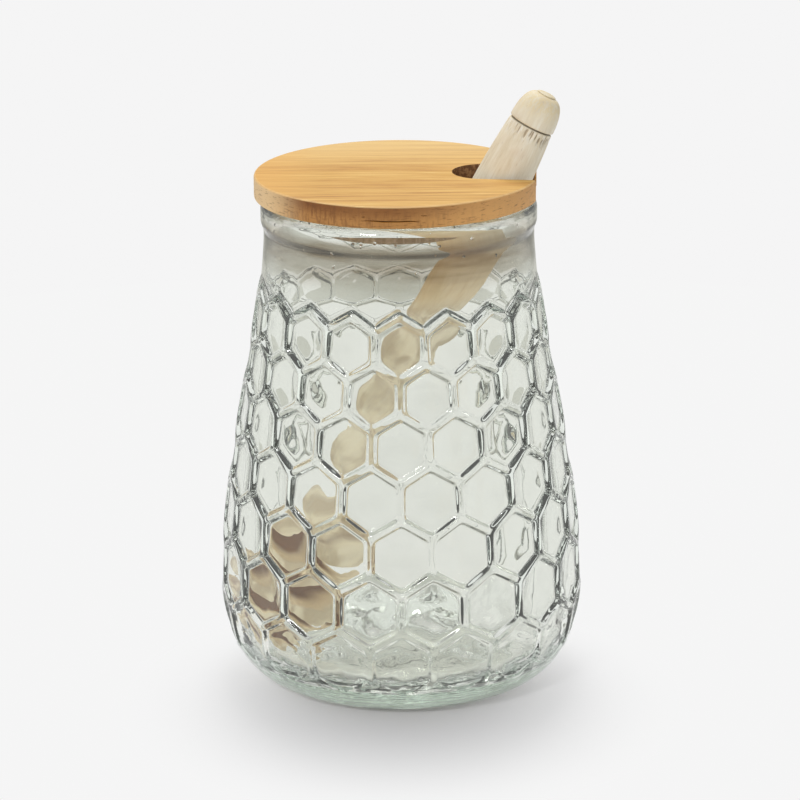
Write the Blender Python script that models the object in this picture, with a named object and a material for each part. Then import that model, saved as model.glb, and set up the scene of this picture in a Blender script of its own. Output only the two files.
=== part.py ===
"""Honey jar: pressed glass with a raised honeycomb, a slotted wooden lid and a turned wooden dipper.

Metres, +Z up. The origin is the centre of the jar's foot, on the surface that the jar stands on.
The front is -Y. Azimuths are counted from the front, towards +X.
"""
import math

import bmesh
import bpy
from mathutils import Vector

MM = 0.001
FIT_GAP = 0.3 * MM

# Jar, outside. Its envelope touches the tops of the ribs.
FOOT_RADIUS = 34.5 * MM
BELLY_RADIUS = 47.2 * MM
BELLY_HEIGHT = 22.0 * MM
SHOULDER_RADIUS = 36.1 * MM
SHOULDER_HEIGHT = 104.0 * MM
SHOULDER_SLOPE = -0.14
NECK_RADIUS = 34.5 * MM
NECK_HEIGHT = 116.0 * MM
RIM_RADIUS = 35.2 * MM
RIM_HEIGHT = 126.1 * MM
RIM_BEAD = 6.6 * MM
LIP_ROUND = 1.2 * MM
PUNT_RADIUS = 27.0 * MM
PUNT_DEPTH = 1.4 * MM
PUNT_SLOPE_WIDTH = 4.0 * MM

# Below this height the heel is plain, and its rings crowd towards the foot.
PLAIN_HEEL = 6.0 * MM
HEEL_RINGS = 4
HEEL_CROWDING = 1.5

# Jar, inside. It is smooth.
BODY_WALL = 3.6 * MM
NECK_WALL = 2.0 * MM
WALL_TAPER_LENGTH = 22.0 * MM
FLOOR_HEIGHT = 7.0 * MM
FLOOR_CORNER = 8.0 * MM
WALL_RINGS = 10

# Honeycomb. Rows count from the heel up, and every second row is turned by half a cell.
CELLS_AROUND = 18
CELL_ROWS = 7
FIRST_ROW_HEIGHT = 15.2 * MM
ROW_PITCH_TO_WIDTH = 0.885
RIB_SLOPE = math.atan(2 / 3 * ROW_PITCH_TO_WIDTH)
RIB_FOOT_WIDTH = 2.7 * MM
RIB_TOP_WIDTH = 1.0 * MM
PANEL_DEPTH = 1.15 * MM
LEAST_DEPTH = 0.3 * MM

# Above the top rib the shoulder is plain. It starts this far below the crown of that rib, and these are
# the heights of its rings.
SHOULDER_STEP = 0.4 * MM
SHOULDER_RINGS = (107.0 * MM, 110.0 * MM, 113.0 * MM)

# The heel cuts the lowest row of cells at these places, counted in rows.
HEEL_CUT_AT_RIB = -0.30
HEEL_CUT_IN_CELL = -0.42

# Lid: a disc with a plug under it, and a slot from the edge for the dipper. It sits a little to the left.
LID_RADIUS = 36.3 * MM
LID_SHIFT = -0.45 * MM
LID_THICKNESS = 5.6 * MM
LID_EASE = 0.6 * MM
PLUG_RADIUS = 26.0 * MM
PLUG_DEPTH = 6.6 * MM
SLOT_WIDTH = 16.2 * MM
SLOT_END_X = 13.6 * MM
SLOT_END_LEAN = 0.12
SLOT_LEAN = math.radians(7.0)
SLOT_SHIFT = -0.3 * MM

# Dipper, from the tip of its head to the top of its handle.
DIPPER_LENGTH = 158.3 * MM
HEAD_LENGTH = 31.0 * MM
HEAD_RADIUS = 12.4 * MM
HEAD_END_RADIUS = 6.0 * MM
HEAD_TIP_RADIUS = 4.2 * MM
HEAD_DISCS = 6
GROOVE_DEPTH = 3.6 * MM

# The head's egg shape is a stretch of a sine wave, from this part of it and over this much of it.
EGG_START = 0.16
EGG_SPAN = 0.74
EGG_FULLNESS = 0.8

# Each disc and its groove start and end at these parts of their pitch.
DISC_PART = (0.14, 0.62)
GROOVE_PART = (0.72, 1.04)

STEM_RADIUS = 4.2 * MM
STEM_LENGTH = 10.0 * MM
SWELL_RADIUS = 7.1 * MM
SWELL_PLACE = 121.0 * MM
SWELL_TAPER = 2.2
BEAD_NECK_RADIUS = 5.85 * MM
BEAD_RADIUS = 5.95 * MM
BEAD_LENGTH = 9.2 * MM
BEAD_CUT = 0.6 * MM
BEAD_FULLNESS = 0.5
NUB_RADIUS = 2.5 * MM
NUB_TOP_RADIUS = 2.0 * MM
NUB_HEIGHT = 0.5 * MM

# Where the dipper's axis crosses the top of the lid, its lean for each metre up, and its lowest axis point.
AT_LID = Vector((27.4 * MM, -0.4 * MM, 131.9 * MM))
LEAN_X = 0.51
LEAN_Y = 0.02
HEAD_TIP_HEIGHT = 11.0 * MM

# Points in each ring of the jar and sides of each turned piece.
RING = 3 * CELLS_AROUND
LID_SIDES = 72
DIPPER_SIDES = 24
SHARP_ANGLE = math.radians(33)


def hermite(low, high, slope_low, slope_high, span, t):
    """A cubic from low to high over span, with the given slopes at its ends."""
    square = t * t
    cube = square * t
    value = low * (2 * cube - 3 * square + 1) + high * (3 * square - 2 * cube)
    value += slope_low * span * (cube - 2 * square + t)
    value += slope_high * span * (cube - square)
    return value


def smooth_step(low, high, value):
    """Runs from 0 at low to 1 at high with level ends."""
    t = min(1.0, max(0.0, (value - low) / (high - low)))
    return t * t * (3 - 2 * t)


def body_radius(height):
    """Radius of the jar's envelope from the foot to the neck."""
    if height < BELLY_HEIGHT:
        drop = (BELLY_HEIGHT - height) / BELLY_HEIGHT
        return FOOT_RADIUS + (BELLY_RADIUS - FOOT_RADIUS) * math.sqrt(max(0.0, 1 - drop * drop))
    if height < SHOULDER_HEIGHT:
        span = SHOULDER_HEIGHT - BELLY_HEIGHT
        t = (height - BELLY_HEIGHT) / span
        return hermite(BELLY_RADIUS, SHOULDER_RADIUS, 0.0, SHOULDER_SLOPE, span, t)
    if height < NECK_HEIGHT:
        span = NECK_HEIGHT - SHOULDER_HEIGHT
        t = (height - SHOULDER_HEIGHT) / span
        return hermite(SHOULDER_RADIUS, NECK_RADIUS, SHOULDER_SLOPE, 0.0, span, t)
    return NECK_RADIUS


def inner_radius(height):
    """Radius of the smooth inside, from above the floor's corner to the lip."""
    taper = smooth_step(NECK_HEIGHT - WALL_TAPER_LENGTH, NECK_HEIGHT, height)
    return body_radius(max(height, BELLY_HEIGHT)) - BODY_WALL + (BODY_WALL - NECK_WALL) * taper


def cylinder_point(radius, azimuth, height):
    return Vector((radius * math.sin(azimuth), -radius * math.cos(azimuth), height))


def make_material(name, colour, roughness, metallic=0.0, transmission=0.0):
    material = bpy.data.materials.new(name)
    material.use_nodes = True
    shader = material.node_tree.nodes["Principled BSDF"]
    shader.inputs["Base Color"].default_value = (*colour, 1.0)
    shader.inputs["Roughness"].default_value = roughness
    shader.inputs["Metallic"].default_value = metallic
    shader.inputs["Transmission Weight"].default_value = transmission
    material.diffuse_color = (*colour, 1.0)
    return material


def make_object(name, bm, material):
    """Turns a bmesh into a named object, shaded smooth but for its sharp edges."""
    mesh = bpy.data.meshes.new(name)
    bmesh.ops.recalc_face_normals(bm, faces=bm.faces)
    bm.to_mesh(mesh)
    bm.free()
    mesh.materials.append(material)
    mesh.shade_smooth()
    mesh.set_sharp_from_angle(angle=SHARP_ANGLE)
    made = bpy.data.objects.new(name, mesh)
    bpy.context.collection.objects.link(made)
    return made


def add_ring(bm, radius, height, azimuths):
    return [bm.verts.new(cylinder_point(radius, azimuth, height)) for azimuth in azimuths]


def join_rings(bm, lower, upper):
    """Quads between two rings with the same number of points."""
    count = len(lower)
    for i in range(count):
        j = (i + 1) % count
        bm.faces.new((lower[i], lower[j], upper[j], upper[i]))


def turned(name, outline, segments, material):
    """A closed turned body. outline has (radius, height) pairs from the lower to the upper axis point."""
    bm = bmesh.new()
    azimuths = [2 * math.pi * i / segments for i in range(segments)]
    rings = [add_ring(bm, radius, height, azimuths) for radius, height in outline[1:-1]]
    for lower, upper in zip(rings, rings[1:]):
        join_rings(bm, lower, upper)
    for ring, (_, height) in ((rings[0], outline[0]), (rings[-1], outline[-1])):
        pole = bm.verts.new((0.0, 0.0, height))
        for i, vert in enumerate(ring):
            bm.faces.new((vert, ring[(i + 1) % segments], pole))
    return make_object(name, bm, material)


def cell_width(height):
    return 2 * math.pi * body_radius(height) / CELLS_AROUND


def lattice_height(row):
    """Height of a place on the honeycomb, where row may be a fraction or below zero."""
    steps = 40
    height = FIRST_ROW_HEIGHT
    for _ in range(steps):
        height += ROW_PITCH_TO_WIDTH * cell_width(height) * row / steps
    return height


def cell_corners(row):
    """Corners of a cell as (azimuth from its middle, height), from the top one, clockwise from outside."""
    half = math.pi / CELLS_AROUND
    corners = [(0.0, row + 2 / 3), (half, row + 1 / 3), (half, row - 1 / 3)]
    corners += [(0.0, row - 2 / 3), (-half, row - 1 / 3), (-half, row + 1 / 3)]
    if row == 0:
        corners[2:5] = [(half, HEEL_CUT_AT_RIB), (0.0, HEEL_CUT_IN_CELL), (-half, HEEL_CUT_AT_RIB)]
    return [(azimuth, lattice_height(level)) for azimuth, level in corners]


def inset(corners, middle_height, distance):
    """Moves each side of a cell inwards by distance, and returns its new corners."""
    radius = body_radius(middle_height)
    flat = [Vector((azimuth * radius, height - middle_height)) for azimuth, height in corners]
    moved = []
    for i, corner in enumerate(flat):
        before = (corner - flat[i - 1]).normalized()
        after = (flat[(i + 1) % len(flat)] - corner).normalized()
        inward_before = Vector((before.y, -before.x))
        inward_after = Vector((after.y, -after.x))
        bisector = inward_before + inward_after
        reach = 2 * distance / bisector.length_squared
        moved.append(corner + bisector * reach)
    return [(point.x / radius, point.y + middle_height) for point in moved]


def panel_radius(middle_height, azimuth, height):
    """Radius at which a ray from the axis meets the flat panel of a cell."""
    step = 0.5 * MM
    slope = (body_radius(middle_height + step) - body_radius(middle_height - step)) / (2 * step)
    start = body_radius(middle_height) - PANEL_DEPTH * math.hypot(1.0, slope)
    flat = (start + slope * (height - middle_height)) / math.cos(azimuth)
    return min(flat, body_radius(height) - LEAST_DEPTH)


def add_cells(bm):
    """The honeycomb. Returns the rib corners of every cell, by row and place in the row."""
    tops = []
    for row in range(CELL_ROWS):
        middle = lattice_height(row)
        corners = cell_corners(row)
        foot = inset(corners, middle, RIB_FOOT_WIDTH / 2)
        top = inset(corners, middle, RIB_TOP_WIDTH / 2)
        tops.append([])
        for place in range(CELLS_AROUND):
            turn = 2 * math.pi * (place + 0.5 * (row % 2)) / CELLS_AROUND
            panel = [
                bm.verts.new(cylinder_point(panel_radius(middle, azimuth, height), turn + azimuth, height))
                for azimuth, height in foot
            ]
            rib = [
                bm.verts.new(cylinder_point(body_radius(height), turn + azimuth, height))
                for azimuth, height in top
            ]
            bm.faces.new(panel)
            join_rings(bm, panel, rib)
            tops[row].append(rib)
    return tops


def join_cells(bm, tops):
    """The tops of the ribs between the cells, and the small triangles where three ribs meet."""
    for row in range(CELL_ROWS):
        for place in range(CELLS_AROUND):
            cell = tops[row][place]
            right = tops[row][(place + 1) % CELLS_AROUND]
            bm.faces.new((cell[1], cell[2], right[4], right[5]))
            if row + 1 == CELL_ROWS:
                continue
            above_right = tops[row + 1][(place + row % 2) % CELLS_AROUND]
            above_left = tops[row + 1][(place + row % 2 - 1) % CELLS_AROUND]
            bm.faces.new((cell[0], cell[1], above_right[3], above_right[4]))
            bm.faces.new((cell[5], cell[0], above_left[2], above_left[3]))
            bm.faces.new((cell[0], above_right[4], above_left[2]))
            bm.faces.new((cell[1], right[5], above_right[3]))


def arc(centre, radius, first, last, steps):
    """Points of a round in the (radius, height) plane, with its angles in degrees from outwards to up."""
    turns = [math.radians(first + (last - first) * step / steps) for step in range(steps + 1)]
    return [(centre[0] + radius * math.cos(turn), centre[1] + radius * math.sin(turn)) for turn in turns]


def heel_outline():
    """From under the honeycomb down round the heel to the shallow hollow under the foot."""
    outline = []
    for ring in range(HEEL_RINGS):
        height = PLAIN_HEEL * (1 - ring / HEEL_RINGS) ** HEEL_CROWDING
        outline.append((body_radius(height), height))
    return outline + [(FOOT_RADIUS, 0.0), (PUNT_RADIUS, 0.0), (PUNT_RADIUS - PUNT_SLOPE_WIDTH, PUNT_DEPTH)]


def add_top_rib(bm, crown_edge):
    """The crown and the upper side of the top rib, above the lower edge of its crown."""
    ring = crown_edge
    for width, step in ((RIB_TOP_WIDTH, 0.0), ((RIB_TOP_WIDTH + RIB_FOOT_WIDTH) / 2, SHOULDER_STEP)):
        rise = width / math.cos(RIB_SLOPE)
        following = []
        for vert in crown_edge:
            height = vert.co.z + rise
            azimuth = math.atan2(vert.co.x, -vert.co.y)
            following.append(bm.verts.new(cylinder_point(body_radius(height) - step, azimuth, height)))
        join_rings(bm, ring, following)
        ring = following
    return ring


def lip_and_inside_outline():
    """From the shoulder up over the neck, the rim's bead and its lip, then down the inside to the floor."""
    rim_middle = RIM_HEIGHT - LIP_ROUND
    bore = NECK_RADIUS - NECK_WALL
    outline = [(body_radius(height), height) for height in SHOULDER_RINGS]
    outline += [(NECK_RADIUS, NECK_HEIGHT + LIP_ROUND), (RIM_RADIUS, RIM_HEIGHT - RIM_BEAD)]
    outline += arc((RIM_RADIUS - LIP_ROUND, rim_middle), LIP_ROUND, 0, 90, 3)
    outline += arc((bore + LIP_ROUND, rim_middle), LIP_ROUND, 90, 180, 3)
    wall_foot = FLOOR_HEIGHT + FLOOR_CORNER
    for ring in range(1, WALL_RINGS):
        height = NECK_HEIGHT + (wall_foot - NECK_HEIGHT) * (ring - 0.5) / (WALL_RINGS - 0.5)
        outline.append((inner_radius(height), height))
    corner = (inner_radius(wall_foot) - FLOOR_CORNER, wall_foot)
    outline += arc(corner, FLOOR_CORNER, 0, -90, 4)
    outline.append((corner[0] / 2, FLOOR_HEIGHT))
    return outline


def make_jar(material):
    """One glass body: the honeycomb, with the heel and foot below it and the lip and inside above it."""
    bm = bmesh.new()
    tops = add_cells(bm)
    join_cells(bm, tops)
    even_turns = [2 * math.pi * (i - 1) / RING for i in range(RING)]
    lower_edge = [vert for cell in tops[0] for vert in (cell[4], cell[3], cell[2])]
    upper_edge = add_top_rib(bm, [vert for cell in tops[-1] for vert in (cell[5], cell[0], cell[1])])
    for edge, outline in ((lower_edge, heel_outline()), (upper_edge, lip_and_inside_outline())):
        ring = edge
        for radius, height in outline:
            following = add_ring(bm, radius, height, even_turns)
            join_rings(bm, ring, following)
            ring = following
        bm.faces.new(ring)
    return make_object("jar", bm, material)


def slot_cutter(material):
    """A guide for the slot: straight sides out through the lid's edge, and a round end that leans inwards."""
    bm = bmesh.new()
    half = SLOT_WIDTH / 2
    points = [(2 * LID_RADIUS, -half), (2 * LID_RADIUS, half)] + arc((half, 0.0), half, 90, 270, 16)
    lid_top = RIM_HEIGHT + FIT_GAP + LID_THICKNESS
    rings = []
    for height in (RIM_HEIGHT - 2 * PLUG_DEPTH, RIM_HEIGHT + 2 * LID_THICKNESS):
        inwards = SLOT_END_LEAN * (height - lid_top)
        rings.append([bm.verts.new((along + inwards, aside, height)) for along, aside in points])
    join_rings(bm, *rings)
    for ring in rings:
        bm.faces.new(ring)
    cutter = make_object("slot_cutter", bm, material)
    side = AT_LID.y + SLOT_SHIFT + (AT_LID.x - SLOT_END_X) * math.tan(SLOT_LEAN)
    cutter.location = (SLOT_END_X, side, 0.0)
    cutter.rotation_euler.z = -SLOT_LEAN
    cutter.hide_render = True
    cutter.display_type = "WIRE"
    return cutter


def make_lid(material):
    """A wooden disc and plug in one piece, with eased edges and the slot cut through both."""
    underside = RIM_HEIGHT + FIT_GAP
    plug_end = underside - PLUG_DEPTH
    top = underside + LID_THICKNESS
    outline = [(0.0, plug_end)]
    outline += [(PLUG_RADIUS - LID_EASE, plug_end), (PLUG_RADIUS, plug_end + LID_EASE)]
    outline += [(PLUG_RADIUS, underside), (LID_RADIUS - LID_EASE / 2, underside)]
    outline += [(LID_RADIUS, underside + LID_EASE / 2)]
    outline += arc((LID_RADIUS - LID_EASE, top - LID_EASE), LID_EASE, 0, 90, 2)
    outline += [(0.0, top)]
    lid = turned("lid", outline, LID_SIDES, material)
    lid.location.x = LID_SHIFT
    slot = lid.modifiers.new("slot", "BOOLEAN")
    slot.operation = "DIFFERENCE"
    slot.object = slot_cutter(material)
    return lid


def head_radius(along):
    """Radius of the head's discs, on an egg-shaped envelope."""
    swell = math.sin(math.pi * (EGG_START + EGG_SPAN * along / HEAD_LENGTH)) ** EGG_FULLNESS
    return HEAD_END_RADIUS + (HEAD_RADIUS - HEAD_END_RADIUS) * swell


def head_outline():
    """The head as (radius, distance from its tip) pairs: discs with grooves between them."""
    pitch = HEAD_LENGTH / HEAD_DISCS
    outline = [(0.0, 0.0), (HEAD_TIP_RADIUS, DISC_PART[0] * pitch / 2)]
    for disc in range(HEAD_DISCS):
        places = [(disc + part) * pitch for part in DISC_PART]
        outline += [(head_radius(place), place) for place in places]
        if disc + 1 < HEAD_DISCS:
            bottom = head_radius(places[1]) - GROOVE_DEPTH
            outline += [(bottom, (disc + part) * pitch) for part in GROOVE_PART]
    return outline


def handle_outline():
    """The stem, the swollen handle, the cut under its bead and the bead with its nub, in the same pairs."""
    outline = [(STEM_RADIUS, HEAD_LENGTH)]
    swell_start = HEAD_LENGTH + STEM_LENGTH
    bead_start = DIPPER_LENGTH - BEAD_LENGTH
    steps = 9
    for step in range(steps):
        t = step / steps
        radius = STEM_RADIUS + (SWELL_RADIUS - STEM_RADIUS) * smooth_step(0, 1, t)
        outline.append((radius, swell_start + (SWELL_PLACE - swell_start) * t))
    steps = 5
    for step in range(steps + 1):
        t = step / steps
        radius = SWELL_RADIUS + (BEAD_NECK_RADIUS - SWELL_RADIUS) * t ** SWELL_TAPER
        outline.append((radius, SWELL_PLACE + (bead_start - SWELL_PLACE) * t))
    outline += [(BEAD_NECK_RADIUS - BEAD_CUT, bead_start + BEAD_CUT / 2)]
    bead_base = bead_start + BEAD_CUT
    bead_rise = BEAD_LENGTH - BEAD_CUT - NUB_HEIGHT
    for step in range(5):
        turn = math.radians(16 * step)
        radius = BEAD_RADIUS * math.cos(turn) ** BEAD_FULLNESS
        outline.append((radius, bead_base + bead_rise * math.sin(turn)))
    outline += [(NUB_RADIUS, DIPPER_LENGTH - NUB_HEIGHT), (NUB_TOP_RADIUS, DIPPER_LENGTH)]
    return outline + [(0.0, DIPPER_LENGTH)]


def make_dipper(material):
    """One turned stick, standing on the jar's floor and leaning out through the lid's slot."""
    dipper = turned("dipper", head_outline() + handle_outline(), DIPPER_SIDES, material)
    lean = Vector((LEAN_X, LEAN_Y, 1.0))
    dipper.location = AT_LID - lean * (AT_LID.z - HEAD_TIP_HEIGHT)
    dipper.rotation_mode = "QUATERNION"
    dipper.rotation_quaternion = lean.to_track_quat("Z", "Y")
    return dipper


for item in list(bpy.data.objects):
    bpy.data.objects.remove(item)
glass = make_material("clear_glass", (0.86, 0.91, 0.88), 0.05, transmission=1.0)
lid_wood = make_material("lid_wood", (0.72, 0.46, 0.20), 0.5)
dipper_wood = make_material("dipper_wood", (0.80, 0.72, 0.60), 0.6)
make_jar(glass)
make_lid(lid_wood)
make_dipper(dipper_wood)
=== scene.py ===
import math

import bmesh
import bpy
import numpy as np
from mathutils import Euler, Matrix, Vector


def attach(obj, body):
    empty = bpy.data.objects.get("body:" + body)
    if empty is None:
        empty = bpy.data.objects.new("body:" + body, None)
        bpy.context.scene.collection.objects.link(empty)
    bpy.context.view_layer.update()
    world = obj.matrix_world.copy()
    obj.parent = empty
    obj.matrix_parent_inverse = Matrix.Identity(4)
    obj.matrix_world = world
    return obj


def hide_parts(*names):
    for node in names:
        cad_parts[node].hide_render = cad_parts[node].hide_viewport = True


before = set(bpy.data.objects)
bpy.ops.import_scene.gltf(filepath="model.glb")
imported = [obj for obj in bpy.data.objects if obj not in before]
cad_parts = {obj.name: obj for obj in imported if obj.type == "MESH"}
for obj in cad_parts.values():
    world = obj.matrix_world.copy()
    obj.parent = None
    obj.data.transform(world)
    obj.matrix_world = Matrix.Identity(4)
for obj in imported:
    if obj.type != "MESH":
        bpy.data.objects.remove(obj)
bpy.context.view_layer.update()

# Camera.
# A long lens looks down a little at the middle of the pot, square to its front.
MM = 0.001
LENS_DISTANCE = 900 * MM
LENS_ELEVATION = math.radians(17.38)
LENS_ROLL = math.radians(0.42)
AIM_HEIGHT = 71.4 * MM
FOCAL_LENGTH = 156.47
SIDE_SHIFT = -0.0002

lens = bpy.data.cameras.new("lens")
lens.lens = FOCAL_LENGTH
lens.sensor_width = 36
lens.shift_x = SIDE_SHIFT
lens.clip_start = 0.01
camera = bpy.data.objects.new("camera", lens)
bpy.context.scene.collection.objects.link(camera)
back_and_up = Vector((0, -math.cos(LENS_ELEVATION), math.sin(LENS_ELEVATION)))
place = Matrix.Translation(Vector((0, 0, AIM_HEIGHT)) + back_and_up * LENS_DISTANCE)
tilt = Euler((math.pi / 2 - LENS_ELEVATION, 0, 0)).to_matrix().to_4x4()
camera.matrix_world = place @ tilt @ Matrix.Rotation(-LENS_ROLL, 4, "Z")
bpy.context.scene.camera = camera
bpy.context.scene.view_settings.view_transform = "Standard"

# Table and studio light.
# A seamless white table in a white tent, with a large soft lamp above and behind. The tent is darkest
# a little above the level of the pot, and that is what the steep sides of the ribs pick up.
TABLE_RADIUS = 0.385
TABLE_WHITE = (0.72, 0.72, 0.725)
TABLE_NEAR = (0.072, 0.005)
TABLE_MIDDLE = (0.0, -0.030, 0.0)
UNDER_JAR = (0.038, 0.024)
NEAR_GLOW = (0.03, 0.03, 0.033)
FAR_GLOW = (0.915, 0.915, 0.915)
UNDER_JAR_PAINTED_LIGHT = (0.50, 0.51, 0.48)
TENT_BRIGHTNESS = 0.93
TENT_BEHIND = (0.982, 0.980, 0.982)
TENT_ON_MATT = (0.47, 0.47, 0.47)
SIDE_FADE = (0.45, 0.80)
SIDE_WALLS = (1.05, 1.06, 1.03)
TENT_WALLS = [(0.0, 0.66, 0.66, 0.61), (0.05, 0.30, 0.30, 0.26), (0.20, 0.08, 0.08, 0.06)]
TENT_WALLS += [(0.32, 0.50, 0.50, 0.46), (0.55, 1.05, 1.05, 1.02), (0.85, 1.25, 1.25, 1.25)]

# Lamps: name, size in metres, power in watts, where it hangs and where it aims.
LAMPS = [("above", 0.45, 6.2, (0.0, 0.60, 1.10), (0.0, 0.0, 0.0))]
LAMPS += [("key", 0.30, 4.6, (-0.45, -0.85, 0.85), (0.0, 0.0, 0.07))]
LAMPS += [("spark", 0.02, 0.12, (0.35, -0.60, 0.75), (0.0, 0.0, 0.10))]


def shader_material(name):
    """A new material with its node tree and its Principled shader."""
    material = bpy.data.materials.new(name)
    material.use_nodes = True
    tree = material.node_tree
    return material, tree, tree.nodes["Principled BSDF"]


def add(tree, kind, inputs=None, **settings):
    """A shader node with its settings made, and its inputs set or linked."""
    made = tree.nodes.new("ShaderNode" + kind)
    for name, value in settings.items():
        setattr(made, name, value)
    for name, value in (inputs or {}).items():
        if isinstance(value, bpy.types.NodeSocket):
            tree.links.new(value, made.inputs[name])
        else:
            made.inputs[name].default_value = value
    return made


def band(tree, value, low, high):
    """A mask that rises from 0 at low to 1 at high, or falls where high is the lower."""
    ends = {"Value": value, "From Min": low, "From Max": high}
    return add(tree, "MapRange", ends, interpolation_type="SMOOTHSTEP").outputs["Result"]


def both(tree, one, other, operation="MULTIPLY"):
    return add(tree, "Math", {0: one, 1: other}, operation=operation).outputs[0]


def without_sign(tree, value):
    return add(tree, "Math", {0: value}, operation="ABSOLUTE").outputs[0]


def tint(tree, mask, under, over, strength=1.0):
    """One colour over another where the mask is 1, as strongly as given."""
    mask = both(tree, mask, strength) if strength < 1 else mask
    under = under if isinstance(under, bpy.types.NodeSocket) else (*under, 1)
    over = over if isinstance(over, bpy.types.NodeSocket) else (*over, 1)
    mix = add(tree, "Mix", {"Factor": mask}, data_type="RGBA")
    for socket, value in zip((mix.inputs["A"], mix.inputs["B"]), (under, over)):
        if isinstance(value, bpy.types.NodeSocket):
            tree.links.new(value, socket)
        else:
            socket.default_value = value
    return mix.outputs["Result"]


def ramp(tree, value, stops, interpolation="LINEAR"):
    """Colours along a value, from (place, red, green, blue) stops."""
    node = add(tree, "ValToRGB", {0: value})
    node.color_ramp.interpolation = interpolation
    while len(node.color_ramp.elements) < len(stops):
        node.color_ramp.elements.new(0.5)
    for element, (place, *colour) in zip(node.color_ramp.elements, stops):
        element.position = place
        element.color = (*colour, 1)
    return node.outputs["Color"]


table_mesh = bpy.data.meshes.new("table")
bm = bmesh.new()
bmesh.ops.create_circle(bm, cap_ends=True, segments=96, radius=TABLE_RADIUS)
bm.to_mesh(table_mesh)
bm.free()
table = bpy.data.objects.new("table", table_mesh)
bpy.context.scene.collection.objects.link(table)
table_white, tree, shader = shader_material("table_white")
shader.inputs["Roughness"].default_value = 0.9
shader.inputs["Specular IOR Level"].default_value = 0.0
shader.inputs["Emission Strength"].default_value = 1.0
spot = add(tree, "TexCoord").outputs["Object"]
masks = []
for middle, ends in ((TABLE_MIDDLE, TABLE_NEAR), ((0.0, 0.0, 0.0), UNDER_JAR)):
    away = add(tree, "VectorMath", {0: spot, 1: middle}, operation="DISTANCE").outputs["Value"]
    masks.append(band(tree, away, *ends))
shaded, under = masks
tree.links.new(tint(tree, shaded, (0.0, 0.0, 0.0), TABLE_WHITE), shader.inputs["Base Color"])
# Painted light: the table glows in a pool under the jar, for the light that the glass gathers onto it,
# and faintly near the jar; further out it glows evenly white.
glow = tint(tree, under, tint(tree, shaded, FAR_GLOW, NEAR_GLOW), UNDER_JAR_PAINTED_LIGHT)
tree.links.new(glow, shader.inputs["Emission Color"])
table_mesh.materials.append(table_white)

tent = bpy.data.worlds.new("tent")
bpy.context.scene.world = tent
tent.use_nodes = True
sky = tent.node_tree
toward = add(sky, "SeparateXYZ", {0: add(sky, "TexCoord").outputs["Generated"]}).outputs
sideways = band(sky, without_sign(sky, toward["X"]), *SIDE_FADE)
ray_kind = add(sky, "LightPath").outputs
bounced = add(sky, "Math", {0: ray_kind["Diffuse Depth"], 1: 0.5}, operation="GREATER_THAN").outputs[0]
seen = tint(sky, sideways, ramp(sky, toward["Z"], TENT_WALLS, "EASE"), SIDE_WALLS)
seen = tint(sky, bounced, seen, TENT_ON_MATT)
seen = tint(sky, ray_kind["Is Camera Ray"], seen, TENT_BEHIND)
sky.links.new(seen, sky.nodes["Background"].inputs["Color"])
sky.nodes["Background"].inputs["Strength"].default_value = TENT_BRIGHTNESS

for name, size, power, at, aim in LAMPS:
    lamp = bpy.data.lights.new(name, "AREA")
    lamp.shape = "DISK"
    lamp.size = size
    lamp.energy = power
    holder = bpy.data.objects.new(name, lamp)
    bpy.context.scene.collection.objects.link(holder)
    holder.location = at
    holder.rotation_mode = "QUATERNION"
    holder.rotation_quaternion = (Vector(at) - Vector(aim)).to_track_quat("Z", "Y")

# Jar.
# Pressed soda-lime glass in one piece. A raised honeycomb stands round it: each cell is a flat panel
# outside, with a low cushion inside from the second row up. Where the glass is thick it looks green.
FOOT_RADIUS = 34.5 * MM
BELLY_RADIUS = 47.17 * MM
BELLY_HEIGHT = 22.0 * MM
SHOULDER_RADIUS = 36.1 * MM
SHOULDER_HEIGHT = 104.0 * MM
SHOULDER_SLOPE = -0.14
NECK_RADIUS = 34.5 * MM
NECK_HEIGHT = 116.0 * MM
RIM_RADIUS = 35.2 * MM
RIM_HEIGHT = 126.1 * MM
RIM_BEAD = 6.6 * MM
LIP_ROUND = 0.25 * MM
LIP_FLARE = 0.75 * MM
FLARE_DEPTH = 2.6 * MM
RIM_ROUND = 3.0 * MM
PUNT_RADIUS = 27.0 * MM
PUNT_DEPTH = 1.4 * MM
BODY_WALL = 3.6 * MM
NECK_WALL = 2.8 * MM
SHOULDER_WALL = 1.7 * MM
THINNEST = 108.6 * MM
SHOULDER_CURVE = 22.0
FLOOR_HEIGHT = 7.0 * MM
FLOOR_CORNER = 8.0 * MM
CELLS_AROUND = 18
CELL_ROWS = 7
FIRST_ROW_HEIGHT = 15.2 * MM
ROW_PITCH_TO_WIDTH = 0.885
RIB_SLOPE = math.atan(2 / 3 * ROW_PITCH_TO_WIDTH)
PANEL_DEPTH = 1.15 * MM
LEAST_DEPTH = 0.3 * MM
SHOULDER_STEP = 0.6 * MM
SHOULDER_FADE = (104.0 * MM, 114.0 * MM)
LEG_FADE = (5.5 * MM, 10.0 * MM)
CUSHION_WALL = 3.8 * MM
CUSHION_CURVE = 35.0
CUSHION_SOFTNESS = 0.2 * MM
CUSHION_END = (2.2 * MM, -0.4 * MM)
CUSHION_START = (16.5 * MM, 26.0 * MM)
WALL_FOOT = FLOOR_HEIGHT + FLOOR_CORNER
INNER_WAVES = 7
WAVE_HEIGHT = 0.17 * MM
WAVE_FADE = (32.0 * MM, 17.0 * MM)
CORNER_WAVINESS = 1.5
HEEL_RINGS = 14
HEEL_CROWDING = 1.25
HEEL_EDGE = 3.0 * MM
OFF_RIB = (0.7 * MM, 1.5 * MM)
SHOULDER_RINGS = 16
BEAD_RINGS = 8
FOOT_RINGS = 10
CORNER_RINGS = 12

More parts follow.
